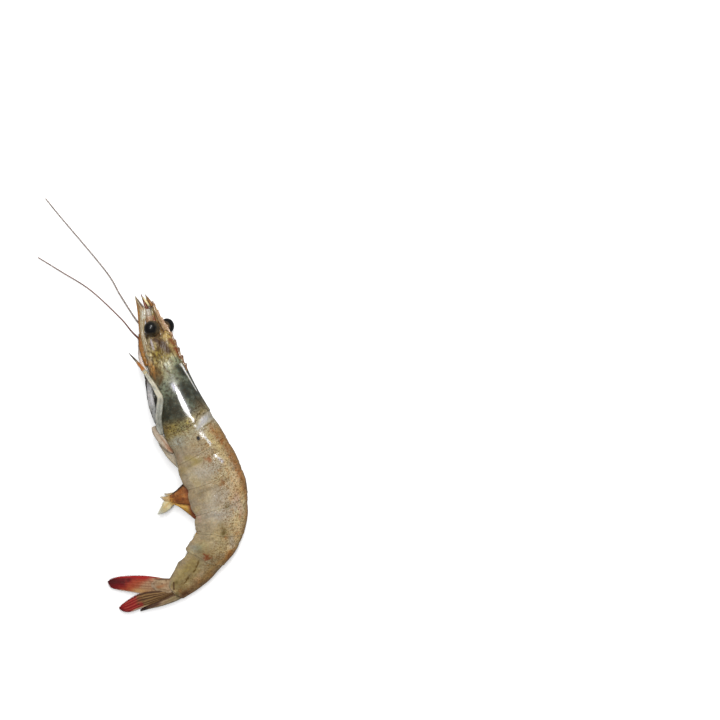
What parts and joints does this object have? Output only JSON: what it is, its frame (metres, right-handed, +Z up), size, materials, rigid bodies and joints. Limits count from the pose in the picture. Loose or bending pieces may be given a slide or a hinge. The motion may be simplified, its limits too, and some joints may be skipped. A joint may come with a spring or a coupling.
{
  "type": "raw shrimp",
  "caption": "Whole raw shrimp with head, shell, feelers, legs and tail fan, curved and lying on its side.",
  "frame": {"origin": "middle of the footprint, on the table that the shrimp lies on", "axes": "+Y towards the head, +X towards the back, +Z up out of the left side; it lies on its right side"},
  "size_m": [0.0888, 0.1733, 0.018],
  "materials": {
    "shell": "wet, translucent, speckled"
  },
  "bodies": {
    "root": {"shrimp": "shell"}
  },
  "joints": []
}
